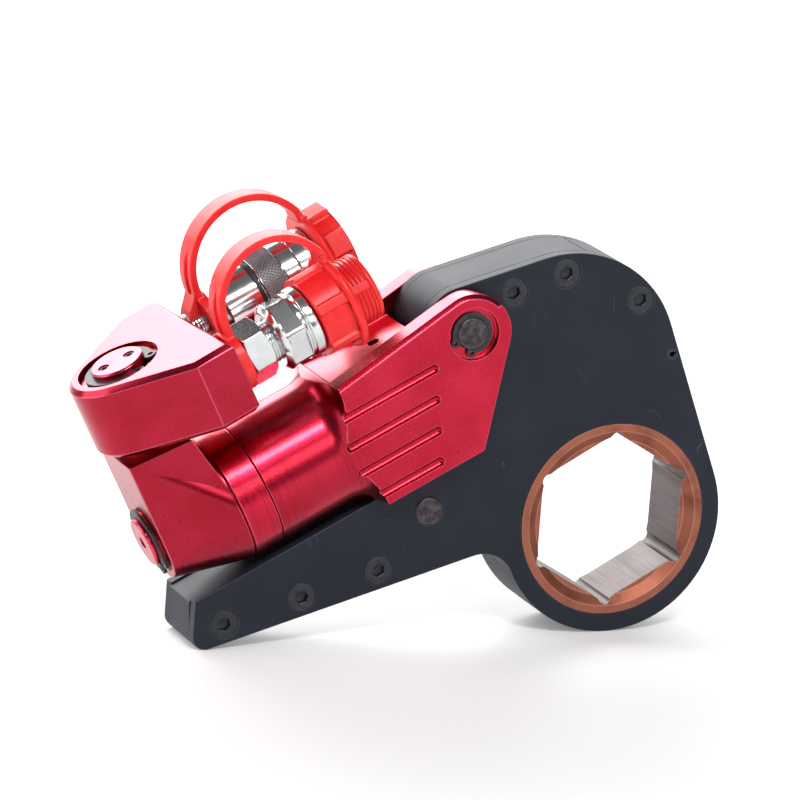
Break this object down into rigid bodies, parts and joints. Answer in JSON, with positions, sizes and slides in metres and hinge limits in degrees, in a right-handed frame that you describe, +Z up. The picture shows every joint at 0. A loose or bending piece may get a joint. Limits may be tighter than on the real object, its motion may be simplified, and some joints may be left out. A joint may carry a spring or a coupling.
{
  "type": "hydraulic torque wrench",
  "caption": "Low-profile hydraulic torque wrench: black hexagon ratchet link with a reaction tail, pinned to a red cylinder head whose two-axis swivel carries capped hose couplers.",
  "frame": {"origin": "centre of the hexagon drive, midway between the link's side plates", "axes": "+X from the tail towards the ring along the floor, +Y along the hexagon's axis towards the rear plate, +Z up as the tool stands on its tail and ring"},
  "size_m": [0.2703, 0.0891, 0.1715],
  "materials": {
    "black_plate": "black oxide, satin",
    "copper_wheel": "copper flashed steel, satin with worn edges",
    "red_anodised": "deep red anodised, turned and milled satin",
    "steel": "ground alloy steel",
    "dark_steel": "black oxide fastener",
    "plated": "bright zinc plate",
    "bronze": "turned bronze",
    "seal": "matt black",
    "cap_red": "soft moulded vinyl, glossy and slightly translucent"
  },
  "bodies": {
    "tool_body": {"side_plate_front": "black_plate", "side_plate_rear": "black_plate", "tail_block": "black_plate", "edge_shroud": "black_plate", "top_spacer": "black_plate", "plate_screws_front": "dark_steel", "plate_screws_rear": "dark_steel", "holding_pawl_pin": "dark_steel", "stop_pin": "dark_steel", "cylinder_body": "red_anodised", "end_cap": "red_anodised", "end_cap_seal": "seal", "rod_gland": "bronze", "rod_seal": "seal", "link_pin": "dark_steel", "pin_rings": "dark_steel", "lower_post": "red_anodised", "lower_post_seals": "seal", "lower_post_ring": "dark_steel", "lower_post_screw": "dark_steel", "holding_spring": "steel"},
    "crank": {"crank_plate_front": "steel", "crank_plate_rear": "steel", "drive_pin": "steel", "pawl_guide": "steel", "pawl_springs": "steel"},
    "piston_rod": {"piston": "steel", "piston_seal": "seal", "piston_rod": "steel", "rod_end": "steel"},
    "wheel": {"ratchet_wheel": "copper_wheel"},
    "drive_pawl": {"drive_pawl": "steel"},
    "holding_pawl": {"holding_pawl": "steel"},
    "lower_swivel": {"lower_swivel": "red_anodised", "upper_post": "red_anodised", "upper_post_seals": "seal", "upper_post_ring": "steel", "upper_post_screws": "dark_steel"},
    "upper_swivel": {"upper_swivel": "red_anodised", "nipple_a": "plated", "coupler_a": "plated", "strap_a": "cap_red", "nipple_b": "plated", "coupler_b": "plated", "lock_ring_b": "seal", "strap_b": "cap_red"},
    "sleeve": {"knurled_sleeve_b": "plated"},
    "poppet_a": {"poppet_a": "plated"},
    "poppet_b": {"poppet_b": "plated"},
    "cap_a": {"cap_a": "cap_red"},
    "cap_b": {"cap_b": "cap_red"}
  },
  "joints": [
    {"name": "crank_swing", "type": "hinge", "parent": "tool_body", "child": "crank", "pos_m": [0, 0, 0], "axis": [0, 1, 0], "range_deg": [0, 22.5]},
    {"name": "wheel_turn", "type": "hinge", "parent": "tool_body", "child": "wheel", "pos_m": [0, 0, 0], "axis": [0, 1, 0], "range_deg": [0, 22.5]},
    {"name": "piston_slide", "type": "slide", "parent": "tool_body", "child": "piston_rod", "axis": [0.8829, 0, 0.4695], "range_m": [0, 0.0326]},
    {"name": "pawl_lift", "type": "slide", "parent": "crank", "child": "drive_pawl", "axis": [-0.6327, 0, 0.7744], "range_m": [0, 0.0027], "stiffness_N_per_m": 1200, "springref_m": -0.004, "deforming": ["pawl_springs"]},
    {"name": "holding_lift", "type": "hinge", "parent": "tool_body", "child": "holding_pawl", "pos_m": [-0.07916, 0, 0.00616], "axis": [0, -1, 0], "range_deg": [0, 5], "stiffness_Nm_per_rad": 0.3, "springref_deg": -17.19, "deforming": ["holding_spring"]},
    {"name": "swivel_roll", "type": "hinge", "parent": "tool_body", "child": "lower_swivel", "pos_m": [-0.17314, 0, 0.00251], "axis": [0.8829, 0, 0.4695], "range_deg": [-100, 100]},
    {"name": "swivel_turn", "type": "hinge", "parent": "lower_swivel", "child": "upper_swivel", "pos_m": [-0.20014, 0, 0.05328], "axis": [-0.4695, 0, 0.8829], "range_deg": [-93, 87]},
    {"name": "sleeve_turn", "type": "hinge", "parent": "upper_swivel", "child": "sleeve", "pos_m": [-0.13602, 0.02834, 0.08737], "axis": [0.8817, 0.0523, 0.4688], "continuous": true},
    {"name": "poppet_a_push", "type": "slide", "parent": "upper_swivel", "child": "poppet_a", "axis": [-0.8817, -0.0523, -0.4688], "range_m": [0, 0.004], "stiffness_N_per_m": 2000, "springref_m": -0.005},
    {"name": "poppet_b_push", "type": "slide", "parent": "upper_swivel", "child": "poppet_b", "axis": [-0.8817, -0.0523, -0.4688], "range_m": [0, 0.004], "stiffness_N_per_m": 2000, "springref_m": -0.005},
    {"name": "cap_a_pull", "type": "slide", "parent": "upper_swivel", "child": "cap_a", "axis": [0.8817, 0.0523, 0.4688], "range_m": [0, 0.03], "deforming": ["strap_a"]},
    {"name": "cap_b_pull", "type": "slide", "parent": "upper_swivel", "child": "cap_b", "axis": [0.8817, 0.0523, 0.4688], "range_m": [0, 0.03], "deforming": ["strap_b"]}
  ],
  "couplings": [
    {"joint": "piston_slide", "follows": "crank_swing", "m_per_rad": 0.082965},
    {"joint": "wheel_turn", "follows": "crank_swing", "ratio": 1}
  ]
}
